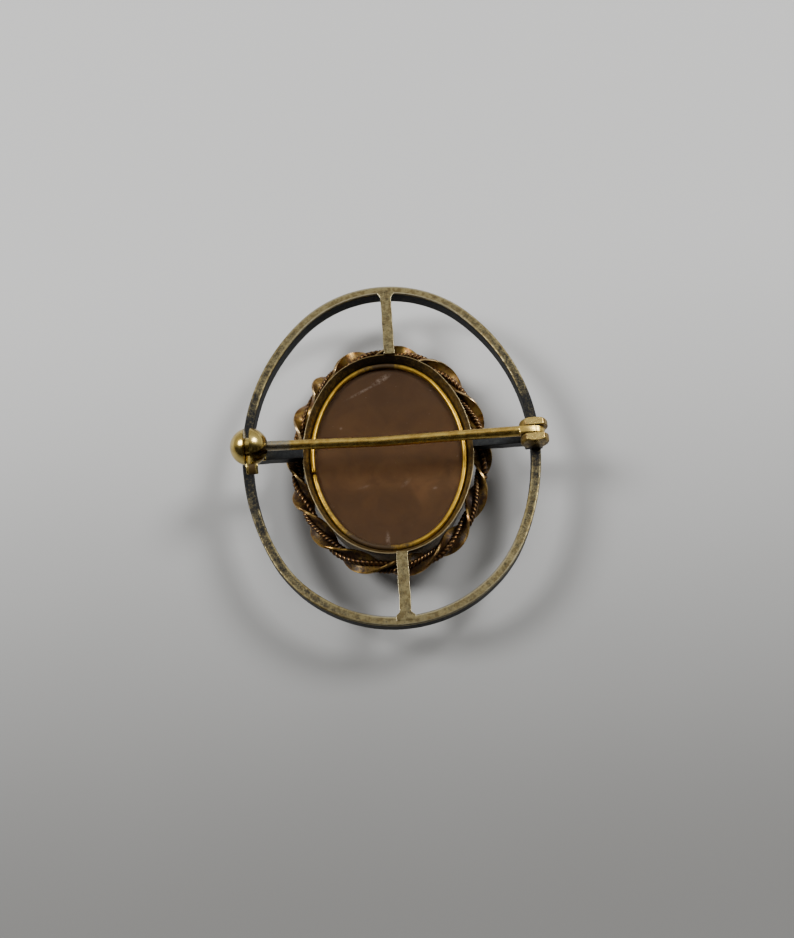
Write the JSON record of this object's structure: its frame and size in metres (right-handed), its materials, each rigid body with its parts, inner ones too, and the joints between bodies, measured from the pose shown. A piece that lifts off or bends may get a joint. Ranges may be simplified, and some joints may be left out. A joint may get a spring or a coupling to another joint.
{
  "type": "cameo brooch",
  "caption": "Oval cameo brooch lying face down: open ring with spokes, twisted rope wreath round a stone in a collar, hinged pin stem and turning ball catch.",
  "frame": {"origin": "Centre of the oval ring in plan, on the plane that the carved front rests on.", "axes": "+Z out of the pinned back, +Y to the top of the oval, +X from the ball catch to the hinge."},
  "size_m": [0.0363, 0.0425, 0.0117],
  "materials": {
    "frame_metal": "antique gilt, brushed and darkened",
    "wreath_metal": "dark copper-brown gilt with worn bright edges",
    "carved_stone": "satin brown back, pale carved relief in front",
    "bright_wire": "bright worn gilt",
    "catch_metal": "polished gilt with dark recesses",
    "stem_metal": "drawn wire, lightly polished"
  },
  "bodies": {
    "mount": {"frame": "frame_metal", "wreath": "wreath_metal", "cameo": "carved_stone", "retaining_wire": "bright_wire", "rivet": "catch_metal"},
    "pin": {"pin_stem": "stem_metal"},
    "lever": {"catch_lever": "catch_metal"}
  },
  "joints": [
    {"name": "pin_swing", "type": "hinge", "parent": "mount", "child": "pin", "pos_m": [0.01625, -0.00029, 0.00875], "axis": [0, 1, 0], "range_deg": [0, 110]},
    {"name": "catch_turn", "type": "hinge", "parent": "mount", "child": "lever", "pos_m": [-0.0163, 0, 0.0095], "axis": [-1, 0, 0], "range_deg": [0, 60]}
  ]
}
